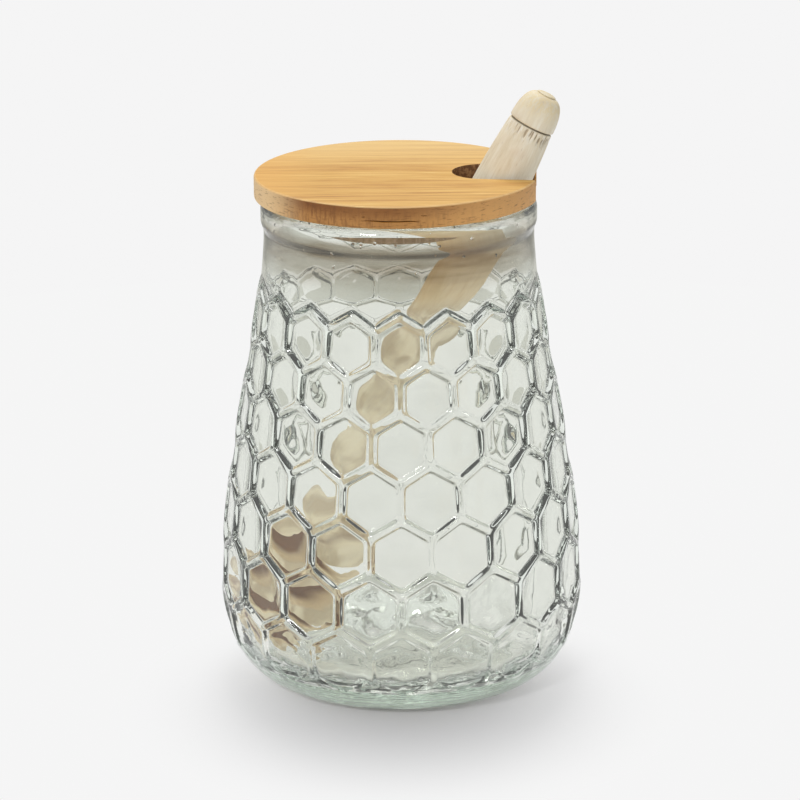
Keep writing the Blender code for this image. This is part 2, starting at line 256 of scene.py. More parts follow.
# A rib from its crown to its foot: distance from the middle line in mm, and how far down the side.
RIB_SHAPE = [(0.35, 0.01), (0.55, 0.05), (0.70, 0.14), (0.85, 0.30), (1.00, 0.50), (1.15, 0.70)]
RIB_SHAPE += [(1.30, 0.86), (1.47, 0.965), (1.75, 1.0)]
CORNER_ROUND = 0.28 * MM
SIDE_STEPS = (0.0, 0.12, 0.36, 0.64, 0.88)
CUSHION_RINGS = (0.25, 0.7, 1.2, 1.9, 2.8)
PANEL_SOFTNESS = 0.25 * MM

# Rings of points further in, as parts of the ring that they start from.
LOWEST_PANEL_PARTS = (0.82, 0.6, 0.36, 0.16)
PANEL_PARTS = (0.62, 0.3)
CUSHION_PARTS = (0.78, 0.56, 0.34, 0.15)
HOLLOW_PARTS = (0.6, 0.35, 0.15)
FLOOR_PARTS = (0.85, 0.6, 0.35, 0.15)


def hermite(low, high, slope_low, slope_high, span, t):
    """A cubic from low to high over span, with the given slopes at its ends."""
    square, cube = t * t, t * t * t
    value = low * (2 * cube - 3 * square + 1) + high * (3 * square - 2 * cube)
    return value + span * (slope_low * (cube - 2 * square + t) + slope_high * (cube - square))


def smooth_step(low, high, value):
    t = np.clip((value - low) / (high - low), 0, 1)
    return t * t * (3 - 2 * t)


def body_radius(height):
    """Radius over the crowns of the ribs, from the foot to the neck."""
    height = np.asarray(height, float)
    drop = np.clip((BELLY_HEIGHT - height) / BELLY_HEIGHT, 0, 1)
    heel = FOOT_RADIUS + (BELLY_RADIUS - FOOT_RADIUS) * np.sqrt(1 - drop * drop)
    tall = SHOULDER_HEIGHT - BELLY_HEIGHT
    part = (height - BELLY_HEIGHT) / tall
    side = hermite(BELLY_RADIUS, SHOULDER_RADIUS, 0, SHOULDER_SLOPE, tall, part)
    short = NECK_HEIGHT - SHOULDER_HEIGHT
    part = (height - SHOULDER_HEIGHT) / short
    top = hermite(SHOULDER_RADIUS, NECK_RADIUS, SHOULDER_SLOPE, 0, short, part)
    above_shoulder = np.where(height < NECK_HEIGHT, top, NECK_RADIUS)
    above_heel = np.where(height < SHOULDER_HEIGHT, side, above_shoulder)
    return np.where(height < BELLY_HEIGHT, heel, above_heel)


def inner_radius(height):
    """Radius of the inside without its cushions. The wall is thinnest at the shoulder."""
    away = height - THINNEST
    wall = SHOULDER_WALL + 0.5 * SHOULDER_CURVE * away * away
    wall = np.where(away < 0, np.minimum(wall, BODY_WALL), np.minimum(wall, NECK_WALL))
    return body_radius(np.maximum(height, BELLY_HEIGHT)) - wall


def lattice_height(row):
    """Height of a place on the honeycomb, counted in rows."""
    steps = 40
    height = FIRST_ROW_HEIGHT
    for _ in range(steps):
        width = 2 * math.pi * float(body_radius(height)) / CELLS_AROUND
        height += ROW_PITCH_TO_WIDTH * width * row / steps
    return height


def on_jar(radius, azimuth, height):
    """Points from radii, azimuths from the front towards +X, and heights."""
    radius, azimuth, height = np.broadcast_arrays(radius, azimuth, height)
    return np.stack([radius * np.sin(azimuth), -radius * np.cos(azimuth), height], -1)


def rib_crown(height):
    """Radius of the ribs' crowns, which fade into the heel."""
    fade = smooth_step(*LEG_FADE, height)
    return body_radius(height) - LEAST_DEPTH * (1 - fade)


def cell_border(row):
    """Points round a cell's border, as azimuth from its middle and height."""
    half = math.pi / CELLS_AROUND
    levels = [(0, 2 / 3), (half, 1 / 3), (half, -1 / 3), (0, -2 / 3), (-half, -1 / 3), (-half, 1 / 3)]
    corners = np.array([(azimuth, lattice_height(row + level)) for azimuth, level in levels])
    points = []
    for start, end in zip(corners, np.roll(corners, -1, 0)):
        points += [start + (end - start) * step for step in SIDE_STEPS]
    return np.array(points), corners


def side_distance(points, corners):
    """Distance in from a cell's border, with its corners rounded off."""
    ends = np.roll(corners, -1, 0)
    along = (ends - corners) / np.linalg.norm(ends - corners, axis=1)[:, None]
    inward = np.stack([along[:, 1], -along[:, 0]], 1)
    gaps = np.einsum("pk,sk->ps", points, inward) - np.sum(corners * inward, 1)
    return -CORNER_ROUND * np.log(np.exp(-gaps / CORNER_ROUND).sum(1))


def soft_least(one, other, width):
    """The smaller of two values, with a soft change from one to the other."""
    mix = np.clip(0.5 + 0.5 * (other - one) / width, 0, 1)
    return other + (one - other) * mix - width * mix * (1 - mix)


def cell_insets(row, reaches, parts):
    """A cell's border, rings at the given distances in from it, then the last one shrunk to a point."""
    border, corners = cell_border(row)
    middle = lattice_height(row)
    girth = float(body_radius(middle))
    flat = (border - (0, middle)) * (girth, 1)
    flat_corners = (corners - (0, middle)) * (girth, 1)
    rings = [flat]
    for reach in reaches:
        low, high = np.zeros(len(flat)), np.ones(len(flat))
        for _ in range(30):
            scale = (low + high) / 2
            inside = side_distance(flat * scale[:, None], flat_corners) > reach * MM
            low, high = np.where(inside, scale, low), np.where(inside, high, scale)
        rings.append(flat * low[:, None])
    rings += [rings[-1] * part for part in parts]
    rings.append(np.zeros((1, 2)))
    return [(ring[:, 0] / girth, ring[:, 1] + middle) for ring in rings]


def panel_radius(row, azimuth, height):
    """Radius of the flat panel of a cell, at azimuths from its middle."""
    middle = lattice_height(row)
    step = 0.5 * MM
    slope = float(body_radius(middle + step) - body_radius(middle - step)) / (2 * step)
    start = float(body_radius(middle)) - PANEL_DEPTH * math.hypot(1, slope)
    return (start + slope * (height - middle)) / np.cos(azimuth)


def inner_waves(azimuth, height):
    """The plunger leaves the inside a little wavy low down."""
    draw = np.random.default_rng(23)
    total = 0.0
    for _ in range(INNER_WAVES):
        round_it, up_it = draw.integers(14, 44), draw.normal(0, 0.9) / MM
        total = total + np.sin(round_it * azimuth + up_it * height + draw.uniform(0, 2 * math.pi))
    return WAVE_HEIGHT * total / math.sqrt(INNER_WAVES) * smooth_step(*WAVE_FADE, height)


def cushioned_wall(azimuth, height):
    """Radius of the inside without its waves: cushions behind the panels, hollows behind the ribs."""
    turn = 2 * math.pi / CELLS_AROUND
    total = 0.0
    for row in range(CELL_ROWS):
        middle = lattice_height(row)
        girth = float(body_radius(middle))
        nearest = ((azimuth / turn - 0.5 * (row % 2) + 0.5) % 1 - 0.5) * turn
        for across in (nearest, nearest - np.copysign(turn, nearest)):
            gap = (girth * across) ** 2 + (height - middle) ** 2
            depth = panel_radius(row, across, height) - CUSHION_WALL + 0.5 * CUSHION_CURVE * gap
            total = total + np.exp((NECK_RADIUS - depth) / CUSHION_SOFTNESS)
    cushions = NECK_RADIUS - CUSHION_SOFTNESS * np.log(total)
    in_cell = np.abs((azimuth / turn + 0.5) % 1 - 0.5) * 2
    peak, valley = lattice_height(CELL_ROWS - 1 + 2 / 3), lattice_height(CELL_ROWS - 2 / 3)
    top_edge = peak * (1 - in_cell) + valley * in_cell
    strength = smooth_step(*CUSHION_END, height - top_edge) * smooth_step(*CUSHION_START, height)
    plain = inner_radius(height)
    return plain + (cushions - plain) * strength


def inner_wall(azimuth, height):
    return cushioned_wall(azimuth, height) + inner_waves(azimuth, height)


class Skin:
    """Collects points and faces for one mesh."""

    def __init__(self):
        self.points, self.faces, self.count = [], [], 0

    def ring(self, points):
        self.points.append(points)
        self.count += len(points)
        return np.arange(self.count - len(points), self.count)

    def join(self, one, other):
        """Quads between two rings, or triangles to a single point."""
        if len(other) == 1:
            self.faces += [(a, b, other[0]) for a, b in zip(one, np.roll(one, -1))]
            return
        pairs = zip(one, np.roll(one, -1), np.roll(other, -1), other)
        self.faces += list(pairs)

    def nest(self, rings, before=None):
        """Rings of points, each joined to the one before."""
        for points in rings:
            now = self.ring(points)
            if before is not None:
                self.join(before, now)
            before = now

    def mesh(self, name, merge=2e-6):
        made = bpy.data.meshes.new(name)
        faces = [tuple(map(int, face)) for face in self.faces]
        made.from_pydata(np.concatenate(self.points).tolist(), [], faces)
        bm = bmesh.new()
        bm.from_mesh(made)
        bmesh.ops.remove_doubles(bm, verts=bm.verts, dist=merge)
        bmesh.ops.recalc_face_normals(bm, faces=bm.faces)
        bm.to_mesh(made)
        bm.free()
        made.shade_smooth()
        return made


def zigzag(row, side):
    """The honeycomb's upper (side 1) or lower (side -1) edge all round, as azimuths and heights."""
    border, _ = cell_border(row)
    turn = 2 * math.pi / CELLS_AROUND
    steps = len(SIDE_STEPS)
    first = 5 if side > 0 else 2
    picked = np.roll(border, -first * steps, 0)[: 2 * steps]
    if side < 0:
        picked = np.roll(border, -first * steps, 0)[1 : 2 * steps + 1][::-1]
    offset = 0.5 * (row % 2)
    all_round = [picked + ((place + offset) * turn, 0) for place in range(CELLS_AROUND)]
    return np.concatenate(all_round)


def arc(centre, radius, first, last, steps):
    turns = np.radians(np.linspace(first, last, steps + 1))
    return list(zip(centre[0] + radius * np.cos(turns), centre[1] + radius * np.sin(turns)))


def noise(tree, vector, scale, detail=2.0, roughness=0.5):
    ends = {"Vector": vector, "Scale": scale, "Detail": detail, "Roughness": roughness}
    return add(tree, "TexNoise", ends).outputs["Fac"]


def stretched(tree, place, *by):
    """A place multiplied along X, Y and Z, so that a pattern put on it is drawn out or squeezed."""
    return add(tree, "VectorMath", {0: place, 1: by}, operation="MULTIPLY").outputs[0]


skin = Skin()
RIB_REACHES = [reach for reach, _ in RIB_SHAPE]
RIB_DOWNS = [0.0] + [down for _, down in RIB_SHAPE]
for row in range(CELL_ROWS):
    parts = LOWEST_PANEL_PARTS if row == 0 else PANEL_PARTS
    outside = []
    for place, (azimuth, height) in enumerate(cell_insets(row, RIB_REACHES, parts)):
        down = RIB_DOWNS[place] if place < len(RIB_DOWNS) else 1.0
        highest = body_radius(height) - LEAST_DEPTH
        panel = soft_least(panel_radius(row, azimuth, height), highest, PANEL_SOFTNESS)
        crown = rib_crown(height)
        outside.append((crown + (panel - crown) * down, azimuth, height))
    cushion = cell_insets(row, CUSHION_RINGS, CUSHION_PARTS) if row > 0 else []
    offset = math.pi / CELLS_AROUND * (row % 2)
    inside = []
    for azimuth, height in cushion:
        inside.append((cushioned_wall(azimuth + offset, height), azimuth, height))
    for cell in range(CELLS_AROUND):
        turn = 2 * math.pi * cell / CELLS_AROUND + offset
        skin.nest([on_jar(radius, azimuth + turn, height) for radius, azimuth, height in outside])
        rings = []
        for radius, azimuth, height in inside:
            wave = inner_waves(azimuth + turn, height)
            rings.append(on_jar(radius + wave, azimuth + turn, height))
        skin.nest(rings)

# Below the honeycomb, round the heel to the hollow under the foot.
lower = zigzag(0, -1)
azimuths = lower[:, 0]
rings = [on_jar(rib_crown(lower[:, 1]), azimuths, lower[:, 1])]
for step in range(1, HEEL_RINGS + 1):
    height = lower[:, 1] * (1 - step / HEEL_RINGS) ** HEEL_CROWDING
    off_rib = smooth_step(*OFF_RIB, lower[:, 1] - height)
    crown = rib_crown(height)
    radius = crown + (body_radius(height) - LEAST_DEPTH - crown) * off_rib
    radius = radius + LEAST_DEPTH * (1 - smooth_step(0, HEEL_EDGE, height)) * off_rib
    rings.append(on_jar(radius, azimuths, height))
under = arc((PUNT_RADIUS + 1.0 * MM, 0.8 * MM), 0.8 * MM, 270, 215, 4)
under += [(PUNT_RADIUS - 2 * MM, 0.75 * PUNT_DEPTH), (PUNT_RADIUS - 5 * MM, PUNT_DEPTH)]
under += [(PUNT_RADIUS * part, PUNT_DEPTH) for part in HOLLOW_PARTS]
rings += [on_jar(radius, azimuths, height) for radius, height in under]
skin.nest(rings + [np.array([[0, 0, PUNT_DEPTH]])])

# Above it: the upper side of the top rib, the plain shoulder and neck, the rim's bead, the lip and the
# bore down to the cushions.
upper = zigzag(CELL_ROWS - 1, 1)
azimuths = upper[:, 0]
rings = [on_jar(body_radius(upper[:, 1]), azimuths, upper[:, 1])]
neck_top = NECK_HEIGHT + 1.6 * MM
rib_foot = upper[:, 1] + RIB_REACHES[-1] * MM / math.cos(RIB_SLOPE)
rises = [(upper[:, 1] + reach * MM / math.cos(RIB_SLOPE), down) for reach, down in RIB_SHAPE]
for step in range(1, SHOULDER_RINGS + 1):
    rises.append((rib_foot + (neck_top - rib_foot) * step / SHOULDER_RINGS, 1))
for height, down in rises:
    sunk = down * SHOULDER_STEP * (1 - smooth_step(*SHOULDER_FADE, height))
    rings.append(on_jar(body_radius(height) - sunk, azimuths, height))
bead_low = RIM_HEIGHT - RIM_BEAD
outline = []
for step in range(1, BEAD_RINGS + 1):
    t = step / BEAD_RINGS
    height = neck_top + (bead_low + 1.0 * MM - neck_top) * t
    outline.append((NECK_RADIUS + (RIM_RADIUS - NECK_RADIUS) * float(smooth_step(0, 1, t)), height))
bore = NECK_RADIUS - NECK_WALL
bore_foot = NECK_HEIGHT + 3.0 * MM
outline += arc((RIM_RADIUS - RIM_ROUND, RIM_HEIGHT - RIM_ROUND), RIM_ROUND, 0, 78, 13)
outline += arc((bore + LIP_FLARE + LIP_ROUND, RIM_HEIGHT - LIP_ROUND), LIP_ROUND, 90, 180, 5)
outline += [(bore, RIM_HEIGHT - FLARE_DEPTH), (bore, bore_foot)]
rings += [on_jar(radius, azimuths, height) for radius, height in outline]
for step in range(1, SHOULDER_RINGS + 1):
    height = bore_foot + (upper[:, 1] - bore_foot) * step / SHOULDER_RINGS
    rings.append(on_jar(inner_wall(azimuths, height), azimuths, height))
skin.nest(rings)

# Inside, below the cushions: the lowest of the wall, the corner and the floor.
lowest = zigzag(1, -1)
azimuths = lowest[:, 0]
rings = []
for step in range(FOOT_RINGS + 1):
    height = lowest[:, 1] + (WALL_FOOT - lowest[:, 1]) * step / FOOT_RINGS
    rings.append(on_jar(inner_wall(azimuths, height), azimuths, height))
corner_middle = inner_wall(azimuths, WALL_FOOT) - FLOOR_CORNER
for turn in np.radians(np.linspace(0, -90, CORNER_RINGS + 1)[1:]):
    waves = inner_waves(azimuths, 9 * MM - FLOOR_CORNER * turn)
    round_by = FLOOR_CORNER + CORNER_WAVINESS * waves
    radius, height = corner_middle + round_by * math.cos(turn), WALL_FOOT + round_by * math.sin(turn)
    rings.append(on_jar(radius, azimuths, height))
rings += [on_jar(corner_middle * part, azimuths, FLOOR_HEIGHT) for part in FLOOR_PARTS]
skin.nest(rings + [np.array([[0, 0, FLOOR_HEIGHT]])])
jar = bpy.data.objects.new("jar_glass", skin.mesh("jar_glass"))
bpy.context.scene.collection.objects.link(jar)

GLASS_TINT = (0.885, 0.892, 0.858)
NECK_PAINTED_SHADE = (0.38, 0.32, 0.235)
NECK_SHADE_STARTS = (107.0 * MM, 116.5 * MM)
NECK_SHADE_ENDS = (122.2 * MM, 120.7 * MM)
GLASS_PAINTED_GLOW = 0.010
GREEN_OF_THICK_GLASS = (0.56, 0.78, 0.66)
GREEN_DENSITY = 9.0
HEEL_LINES = (10.5 * MM, 7.5 * MM)
ROUGH_FOOT = (18.0 * MM, 8.0 * MM)
SEEDS_FROM = (112.0 * MM, 115.0 * MM)
LOW_WAVES = (32.0 * MM, 22.0 * MM)
BUMP_HEIGHT = 0.03 * MM

glass, tree, shader = shader_material("clear_glass")
shader.inputs["Transmission Weight"].default_value = 1.0
shader.inputs["IOR"].default_value = 1.5
spot = add(tree, "TexCoord").outputs["Object"]
height = add(tree, "SeparateXYZ", {0: spot}).outputs["Z"]
haze = band(tree, noise(tree, spot, 70.0, 6.0), 0.45, 0.8)
tree.links.new(both(tree, haze, 0.05), shader.inputs["Roughness"])

# Painted shade: the neck's glass is darkened with a streaky brown below the lid, for the lid's shade
# and its brown seen in the glass.
streaks = noise(tree, stretched(tree, spot, 1.0, 1.0, 9.0), 60.0, 3.0)
streaks = both(tree, 1.0, both(tree, band(tree, streaks, 0.30, 0.65), 0.45), "SUBTRACT")
neck_shade = both(tree, band(tree, height, *NECK_SHADE_STARTS), band(tree, height, *NECK_SHADE_ENDS))
neck_shade = both(tree, neck_shade, streaks)
tree.links.new(tint(tree, neck_shade, GLASS_TINT, NECK_PAINTED_SHADE), shader.inputs["Base Color"])
# A faint painted glow lightens all of the glass.
shader.inputs["Emission Color"].default_value = (1.0, 1.0, 0.95, 1)
shader.inputs["Emission Strength"].default_value = GLASS_PAINTED_GLOW

# The mould leaves the surface a little wavy, most of all low down.
lines = {"Vector": spot, "Scale": 220.0, "Distortion": 3.0, "Detail": 2.0}
lines = add(tree, "TexWave", lines, bands_direction="Z").outputs["Fac"]
lines = both(tree, both(tree, lines, band(tree, height, *HEEL_LINES)), 2.2)
rough_foot = both(tree, both(tree, noise(tree, spot, 420.0, 2.0), band(tree, height, *ROUGH_FOOT)), 4.0)
waves = both(tree, noise(tree, spot, 160.0, 1.0), both(tree, lines, rough_foot, "ADD"), "ADD")

# Small seeds of air lie in the neck, and the lowest cells are wavy.
seeds = add(tree, "TexVoronoi", {"Vector": spot, "Scale": 230.0}).outputs["Distance"]
seeds = both(tree, band(tree, seeds, 0.11, 0.02), band(tree, height, *SEEDS_FROM))
waves = both(tree, waves, both(tree, seeds, 12.0), "ADD")
low_waves = both(tree, noise(tree, spot, 130.0, 1.0), band(tree, height, *LOW_WAVES))
waves = both(tree, waves, both(tree, low_waves, 14.0), "ADD")
bump = add(tree, "Bump", {"Height": waves, "Distance": BUMP_HEIGHT, "Strength": 1.0}).outputs[0]
tree.links.new(bump, shader.inputs["Normal"])
thick = {"Color": (*GREEN_OF_THICK_GLASS, 1), "Density": GREEN_DENSITY}
thick = add(tree, "VolumeAbsorption", thick).outputs[0]
tree.links.new(thick, tree.nodes["Material Output"].inputs["Volume"])
jar.data.materials.append(glass)
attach(jar, "root")
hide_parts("jar")

# Lid.
# A disc of warm straight-grained wood, turned with its plug under it and sanded smooth. The slot for
# the dipper is sawn in from the edge. The side is darker and has split along the grain in places.
LID_RADIUS = 36.3 * MM
LID_SHIFT = -0.45 * MM
LID_THICKNESS = 5.6 * MM
LID_EDGE = 0.7 * MM
PLUG_RADIUS = 26.0 * MM
PLUG_DEPTH = 6.6 * MM
PLUG_EDGE = 0.5 * MM
LID_GAP = 0.3 * MM
SLOT_WIDTH = 16.2 * MM
SLOT_END_X = 13.6 * MM
SLOT_END_Y = 0.99 * MM
SLOT_END_LEAN = 0.12
SLOT_LEAN = math.radians(7.0)
SLOT_EDGE = 0.25 * MM
LID_SIDES = 256

# Splits in the front of the side: where each starts and ends along X, its height and its width, in mm.
SPLITS = [(-9.6, 5.6, 128.3, 0.52), (5.4, 7.1, 129.65, 0.3), (8.2, 9.8, 127.75, 0.34)]
SPLITS += [(-9.0, -8.3, 129.3, 0.4)]
SPLIT_POINTS = 9
SPLIT_DEPTH = 1.2 * MM
CUTTER_START = 1.0 * MM
SLOT_CUTTER = 15.0 * MM
SLOT_CUTTER_BELOW = 0.95


def turned(name, outline, sides):
    """A turned shape from (radius, height) pairs. It starts and ends on its axis."""
    skin = Skin()
    azimuths = np.arange(sides) * 2 * math.pi / sides
    rings = [on_jar(radius, azimuths, height) for radius, height in outline[1:-1]]
    first, last = (np.array([[0, 0, height]]) for _, height in (outline[0], outline[-1]))
    lowest = skin.ring(rings[0])
    skin.join(lowest, skin.ring(first))
    skin.nest(rings[1:] + [last], lowest)
    piece = bpy.data.objects.new(name, skin.mesh(name))
    bpy.context.scene.collection.objects.link(piece)
    return piece


def prism(points, start, reach):
    """A closed prism from a flat outline. Its points and its reach are vectors."""
    bm = bmesh.new()
    ends = [[bm.verts.new(start + point + shift) for point in points] for shift in (Vector(), reach)]
    count = len(points)
    bm.faces.new(ends[0])
    bm.faces.new(ends[1][::-1])
    for place in range(count):
        after = (place + 1) % count
        bm.faces.new((ends[0][place], ends[1][place], ends[1][after], ends[0][after]))
    bmesh.ops.recalc_face_normals(bm, faces=bm.faces)
    mesh = bpy.data.meshes.new("cutter")
    bm.to_mesh(mesh)
    bm.free()
    cutter = bpy.data.objects.new("cutter", mesh)
    bpy.context.scene.collection.objects.link(cutter)
    return cutter


def shape_with(piece, kind, **settings):
    """Applies one modifier for good."""
    modifier = piece.modifiers.new("shaping", kind)
    for name, value in settings.items():
        setattr(modifier, name, value)
    shaped = piece.evaluated_get(bpy.context.evaluated_depsgraph_get())
    mesh = bpy.data.meshes.new_from_object(shaped)
    piece.modifiers.clear()
    piece.data = mesh


underside = RIM_HEIGHT + LID_GAP
lid_top = underside + LID_THICKNESS
plug_end = underside - PLUG_DEPTH
outline = [(0.0, plug_end)]
outline += arc((PLUG_RADIUS - PLUG_EDGE, plug_end + PLUG_EDGE), PLUG_EDGE, -90, 0, 6)
outline += arc((LID_RADIUS - LID_EDGE / 2, underside + LID_EDGE / 2), LID_EDGE / 2, -90, 0, 5)
outline.insert(-6, (PLUG_RADIUS, underside))
outline += arc((LID_RADIUS - LID_EDGE, lid_top - LID_EDGE), LID_EDGE, 0, 90, 8)
outline.append((0.0, lid_top))
lid = turned("wood_lid", outline, LID_SIDES)
lid.data.transform(Matrix.Translation((LID_SHIFT, 0, 0)))
half = SLOT_WIDTH / 2
slot_outline = [Vector((2 * LID_RADIUS, -half, 0)), Vector((2 * LID_RADIUS, half, 0))]
slot_outline += [Vector((x, y, 0)) for x, y in arc((half, 0.0), half, 90, 270, 40)]
turn = Matrix.Rotation(-SLOT_LEAN, 3, "Z")
slot_axis = Vector((SLOT_END_LEAN, 0, 1)) * SLOT_CUTTER
slot_start = Vector((SLOT_END_X, SLOT_END_Y, lid_top)) - slot_axis * SLOT_CUTTER_BELOW
cutter = prism([turn @ point for point in slot_outline], slot_start, slot_axis)
shape_with(lid, "BOOLEAN", object=cutter, operation="DIFFERENCE", solver="EXACT")
bpy.data.objects.remove(cutter)
corner = math.radians(50)
shape_with(lid, "BEVEL", width=SLOT_EDGE, segments=3, limit_method="ANGLE", angle_limit=corner)
draw = np.random.default_rng(11)
outer = Vector((0, -LID_RADIUS - CUTTER_START, 0))
inwards = Vector((0, CUTTER_START + SPLIT_DEPTH, 0))
for first, last, height, width in SPLITS:
    along = np.linspace(0, 1, SPLIT_POINTS)
    waver = draw.normal(0, 0.08, SPLIT_POINTS)
    ragged = draw.uniform(0.6, 1.0, SPLIT_POINTS)
    open_by = 0.5 * width * (np.sin(math.pi * along) ** 0.5 + 0.02) * ragged
    across, middle = first + (last - first) * along, height + waver
    edge = list(zip(across, middle + open_by)) + list(zip(across, middle - open_by))[::-1]
    points = [Vector((x, 0, z)) * MM for x, z in edge]
    cutter = prism(points, outer, inwards)
    shape_with(lid, "BOOLEAN", object=cutter, operation="DIFFERENCE", solver="EXACT")
    bpy.data.objects.remove(cutter)
lid.data.shade_smooth()
lid.data.set_sharp_from_angle(angle=math.radians(35))

# The grain of a straight-grown wood, which runs along Z of the given place.
grain_group = bpy.data.node_groups.new("wood_grain", "ShaderNodeTree")
sockets = grain_group.interface
sockets.new_socket(name="Place", in_out="INPUT", socket_type="NodeSocketVector")
for name in ("Streak Scale", "Fibre Scale", "Stretch"):
    sockets.new_socket(name=name, in_out="INPUT", socket_type="NodeSocketFloat")
for name in ("Streak", "Fibre", "Pore"):
    sockets.new_socket(name=name, in_out="OUTPUT", socket_type="NodeSocketFloat")
inlet = grain_group.nodes.new("NodeGroupInput").outputs
outlet = grain_group.nodes.new("NodeGroupOutput")
shorten = both(grain_group, 1.0, inlet["Stretch"], "DIVIDE")
shape = add(grain_group, "CombineXYZ", {"X": 1.0, "Y": 1.0, "Z": shorten}).outputs[0]
fine = add(grain_group, "VectorMath", {0: inlet["Place"], 1: shape}, operation="MULTIPLY").outputs[0]
streak = noise(grain_group, fine, inlet["Streak Scale"], 3.0, 0.6)
fibre = noise(grain_group, fine, inlet["Fibre Scale"], 4.0, 0.7)
cells = {"Vector": fine, "Scale": inlet["Fibre Scale"]}
cells = add(grain_group, "TexVoronoi", cells).outputs["Distance"]
pore = both(grain_group, band(grain_group, cells, 0.22, 0.08), band(grain_group, streak, 0.45, 0.62))
for name, value in (("Streak", streak), ("Fibre", fibre), ("Pore", pore)):
    grain_group.links.new(value, outlet.inputs[name])


def wood_grain(tree, place, streak_scale, fibre_scale, stretch):
    node = add(tree, "Group", node_tree=grain_group)
    values = {"Streak Scale": streak_scale, "Fibre Scale": fibre_scale, "Stretch": stretch}
    for name, value in values.items():
        node.inputs[name].default_value = value
    tree.links.new(place, node.inputs["Place"])
    return node.outputs


def axis_distance(tree, place):
    """How far a place is from the Z axis."""
    flat = stretched(tree, place, 1.0, 1.0, 0.0)
    return add(tree, "VectorMath", {0: flat}, operation="LENGTH").outputs["Value"]


TOP_STOPS = [(0.34, 0.40, 0.175, 0.034), (0.42, 0.57, 0.285, 0.060), (0.49, 0.66, 0.365, 0.084)]
TOP_STOPS += [(0.57, 0.73, 0.425, 0.110), (0.68, 0.88, 0.61, 0.22)]
TOP_BACK_PAINTED_SHEEN = (0.93, 0.67, 0.30)
TOP_LEFT_END = (0.83, 0.44, 0.11)
SIDE_BROWN = (0.47, 0.22, 0.060)
SIDE_UNDER_EDGE = (0.22, 0.078, 0.016)
SIDE_STROKES = (0.17, 0.060, 0.014)
SIDE_PATCHES = (0.58, 0.29, 0.09)
SIDE_RIGHT_END = (0.92, 0.51, 0.18)
SIDE_LEFT_END = (0.92, 0.65, 0.34)
SIDE_DASHES = (0.16, 0.060, 0.014)
SLOT_BROWNS_AND_SHADE = [(0.13, 0.055, 0.02), (0.30, 0.16, 0.07)]
PLUG_BROWNS = [(0.62, 0.36, 0.15), (0.90, 0.62, 0.34)]
EDGE_PAINTED_HIGHLIGHT = (0.98, 0.74, 0.44)
WOOD_BUMP = 0.06 * MM

lid_wood, tree, shader = shader_material("lid_wood")
spot = add(tree, "TexCoord").outputs
where = add(tree, "SeparateXYZ", {0: spot["Object"]}).outputs
facing = add(tree, "SeparateXYZ", {0: spot["Normal"]}).outputs
along_x = add(tree, "CombineXYZ", {"X": where["Y"], "Y": where["Z"], "Z": where["X"]}).outputs[0]
grain = wood_grain(tree, along_x, 640.0, 2100.0, 26.0)
blend = both(tree, both(tree, grain["Streak"], 0.55), both(tree, grain["Fibre"], 0.45), "ADD")
colour = ramp(tree, blend, TOP_STOPS)
patches = noise(tree, spot["Object"], 45.0)
# Painted sheen: the back of the top is painted paler and yellower, where grazing light would shine on
# it.
back_sheen = band(tree, where["Y"], -2.0 * MM, 34.0 * MM)
colour = tint(tree, back_sheen, colour, TOP_BACK_PAINTED_SHEEN, 0.55)
left_end = band(tree, where["X"], -18.0 * MM, -36.0 * MM)
colour = tint(tree, left_end, colour, TOP_LEFT_END, 0.45)

# The side is darkest under the top edge, paler at the left and redder at the right.
mottle = noise(tree, spot["Object"], 900.0, 4.0, 0.7)
strokes = noise(tree, stretched(tree, spot["Object"], 1.0, 1.0, 0.22), 1300.0, 3.0, 0.6)
uneven = both(tree, both(tree, mottle, 2.2 * MM), both(tree, patches, 3.0 * MM), "ADD")
level = both(tree, where["Z"], uneven, "ADD")
side = tint(tree, band(tree, level, 130.0 * MM, 133.8 * MM), SIDE_BROWN, SIDE_UNDER_EDGE)
side = tint(tree, band(tree, strokes, 0.46, 0.68), side, SIDE_STROKES, 0.65)
side = tint(tree, band(tree, patches, 0.45, 0.65), side, SIDE_PATCHES, 0.2)
side = tint(tree, band(tree, where["X"], -4.0 * MM, 26.0 * MM), side, SIDE_RIGHT_END, 0.65)
side = tint(tree, band(tree, where["X"], -22.0 * MM, -34.0 * MM), side, SIDE_LEFT_END, 0.85)
dashes = noise(tree, stretched(tree, spot["Object"], 0.22, 0.22, 1.3), 1800.0, 3.0, 0.6)
side = tint(tree, band(tree, dashes, 0.55, 0.68), side, SIDE_DASHES, 0.5)
upright = band(tree, without_sign(tree, facing["Z"]), 0.75, 0.35)
colour = tint(tree, upright, colour, side)

# The sawn walls of the slot are darker still, partly from their end grain and partly from painted shade
# down in the slot, and the plug's side is paler.
from_axis = axis_distance(tree, spot["Object"])
mottled = band(tree, mottle, 0.42, 0.60)
inner = both(tree, upright, band(tree, from_axis, 35.6 * MM, 35.3 * MM))
colour = tint(tree, inner, colour, tint(tree, mottled, *SLOT_BROWNS_AND_SHADE))
plug_side = both(tree, inner, band(tree, where["Z"], 126.8 * MM, 126.0 * MM))
colour = tint(tree, plug_side, colour, tint(tree, mottled, *PLUG_BROWNS))

# Painted highlight: the rounded edge of the top is painted pale.
edge = both(tree, band(tree, facing["Z"], 0.40, 0.62), band(tree, facing["Z"], 0.995, 0.90))
colour = tint(tree, edge, colour, EDGE_PAINTED_HIGHLIGHT, 0.3)
tree.links.new(colour, shader.inputs["Base Color"])
sheen = add(tree, "MapRange", {"Value": grain["Fibre"], "To Min": 0.62, "To Max": 0.42})
tree.links.new(sheen.outputs["Result"], shader.inputs["Roughness"])
shader.inputs["Specular IOR Level"].default_value = 0.35
relief = both(tree, grain["Fibre"], both(tree, mottle, upright), "ADD")
bump = add(tree, "Bump", {"Height": relief, "Distance": WOOD_BUMP, "Strength": 0.7})
tree.links.new(bump.outputs[0], shader.inputs["Normal"])
lid.data.materials.append(lid_wood)
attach(lid, "root")
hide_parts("lid")

